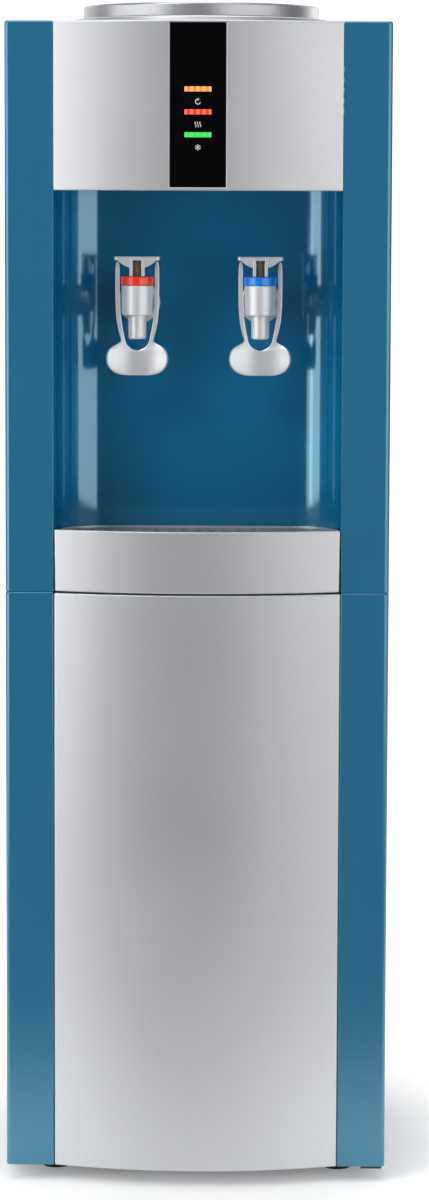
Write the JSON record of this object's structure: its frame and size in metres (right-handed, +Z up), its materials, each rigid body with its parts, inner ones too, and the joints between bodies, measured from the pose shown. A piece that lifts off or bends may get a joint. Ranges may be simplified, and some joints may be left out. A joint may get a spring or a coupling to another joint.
{
  "type": "water cooler",
  "caption": "Floor-standing hot and cold water cooler with a bottle collar, push taps in a dispensing niche, a drip tray and a hinged storage cabinet.",
  "frame": {"origin": "on the floor under the feet, at the centre of the bounding box", "axes": "+Z up; the front with the taps faces -Y; +X is to the right of someone who faces the front"},
  "size_m": [0.3116, 0.32, 0.96],
  "materials": {
    "blue_satin": "satin blue lacquer",
    "blue_plastic": "satin blue plastic",
    "blue_gloss": "glossy deep blue plastic",
    "silver_paint": "satin silver metallic paint on plastic",
    "black_gloss": "glossy black",
    "lamp_amber": "lit amber lens",
    "lamp_red": "lit red lens",
    "lamp_green": "lit green lens",
    "board_green": "circuit board",
    "tap_silver": "silver painted plastic",
    "tap_red": "glossy red plastic",
    "tap_blue": "glossy blue plastic",
    "lever_grey": "light grey plastic",
    "stem_brass": "turned brass",
    "pin_steel": "plain steel",
    "seal_rubber": "silicone",
    "black_rubber": "black rubber",
    "dark_steel": "black lacquer",
    "zinc_steel": "zinc-coated sheet",
    "grille_grey": "glossy grey plastic",
    "liner_white": "white plastic",
    "stainless": "stainless sheet",
    "foam_white": "expanded foam",
    "copper": "copper tube",
    "black_plastic": "black plastic",
    "rocker_red": "red plastic",
    "rocker_green": "green plastic"
  },
  "bodies": {
    "cabinet": {"base_plate": "dark_steel", "rubber_feet": "black_rubber", "left_side_panel": "blue_satin", "right_side_panel": "blue_satin", "rear_panel": "zinc_steel", "panel_screws": "pin_steel", "front_frame": "blue_plastic", "dispenser_niche": "blue_gloss", "head_panel": "silver_paint", "control_strip": "black_gloss", "power_lens": "lamp_amber", "hot_lens": "lamp_red", "cold_lens": "lamp_green", "indicator_board": "board_green", "top_cover": "silver_paint", "door_hinge_pins": "pin_steel", "door_magnet": "black_plastic", "cabinet_liner": "liner_white", "tap_lock_nuts": "liner_white", "tank_shelf": "zinc_steel", "deck_plate": "zinc_steel", "cold_tank": "stainless", "cold_tank_insulation": "foam_white", "evaporator_coil": "copper", "hot_tank": "stainless", "hot_tank_jacket": "foam_white", "hot_tank_heater": "pin_steel", "water_hoses": "seal_rubber", "drain_spout": "liner_white", "compressor": "dark_steel", "compressor_mounts": "black_rubber", "condenser_coil": "dark_steel", "condenser_wires": "dark_steel", "refrigerant_pipes": "copper", "switch_housings": "black_plastic", "mains_gland": "black_plastic", "hot_tap_body": "tap_silver", "hot_tap_cap": "tap_red", "hot_tap_spring": "pin_steel", "cold_tap_body": "tap_silver", "cold_tap_cap": "tap_blue", "cold_tap_spring": "pin_steel"},
    "door": {"door_frame": "blue_plastic", "door_panel": "silver_paint", "door_strike": "pin_steel"},
    "tray": {"drip_tray": "silver_paint"},
    "grille": {"drip_grille": "grille_grey"},
    "collar": {"bottle_collar": "silver_paint", "bottle_probe": "liner_white"},
    "hot_stem": {"hot_tap_stem": "stem_brass", "hot_tap_plug": "seal_rubber", "hot_tap_pin": "pin_steel"},
    "hot_lever": {"hot_tap_lever": "lever_grey"},
    "cold_stem": {"cold_tap_stem": "stem_brass", "cold_tap_plug": "seal_rubber", "cold_tap_pin": "pin_steel"},
    "cold_lever": {"cold_tap_lever": "lever_grey"},
    "heat_switch": {"heat_rocker": "rocker_red"},
    "cool_switch": {"cool_rocker": "rocker_green"},
    "drain_plug": {"drain_cap": "liner_white"}
  },
  "joints": [
    {"name": "door_hinge", "type": "hinge", "parent": "cabinet", "child": "door", "pos_m": [0.147, -0.126, 0.013], "axis": [0, 0, 1], "range_deg": [0, 100]},
    {"name": "tray_slide", "type": "slide", "parent": "cabinet", "child": "tray", "axis": [0, -1, 0], "range_m": [0, 0.12]},
    {"name": "grille_lift", "type": "slide", "parent": "tray", "child": "grille", "axis": [0, 0, 1], "range_m": [0, 0.04]},
    {"name": "collar_lift", "type": "slide", "parent": "cabinet", "child": "collar", "axis": [0, 0, 1], "range_m": [0, 0.11]},
    {"name": "hot_stem_lift", "type": "slide", "parent": "cabinet", "child": "hot_stem", "axis": [0, 0, 1], "range_m": [0, 0.00314], "stiffness_N_per_m": 600, "springref_m": -0.004, "deforming": ["hot_tap_spring"]},
    {"name": "hot_lever_push", "type": "hinge", "parent": "hot_stem", "child": "hot_lever", "pos_m": [-0.05, -0.094, 0.748], "axis": [1, 0, 0], "range_deg": [0, 18]},
    {"name": "cold_stem_lift", "type": "slide", "parent": "cabinet", "child": "cold_stem", "axis": [0, 0, 1], "range_m": [0, 0.00314], "stiffness_N_per_m": 600, "springref_m": -0.004, "deforming": ["cold_tap_spring"]},
    {"name": "cold_lever_push", "type": "hinge", "parent": "cold_stem", "child": "cold_lever", "pos_m": [0.05, -0.094, 0.748], "axis": [1, 0, 0], "range_deg": [0, 18]},
    {"name": "heat_rocker_tip", "type": "hinge", "parent": "cabinet", "child": "heat_switch", "pos_m": [-0.024, 0.138, 0.893], "axis": [1, 0, 0], "range_deg": [-20, 0]},
    {"name": "cool_rocker_tip", "type": "hinge", "parent": "cabinet", "child": "cool_switch", "pos_m": [0.024, 0.138, 0.893], "axis": [1, 0, 0], "range_deg": [-20, 0]},
    {"name": "drain_cap_pull", "type": "slide", "parent": "cabinet", "child": "drain_plug", "axis": [0, 1, 0], "range_m": [0, 0.02]}
  ],
  "couplings": [
    {"joint": "hot_lever_push", "follows": "hot_stem_lift", "rad_per_m": 100},
    {"joint": "cold_lever_push", "follows": "cold_stem_lift", "rad_per_m": 100}
  ]
}
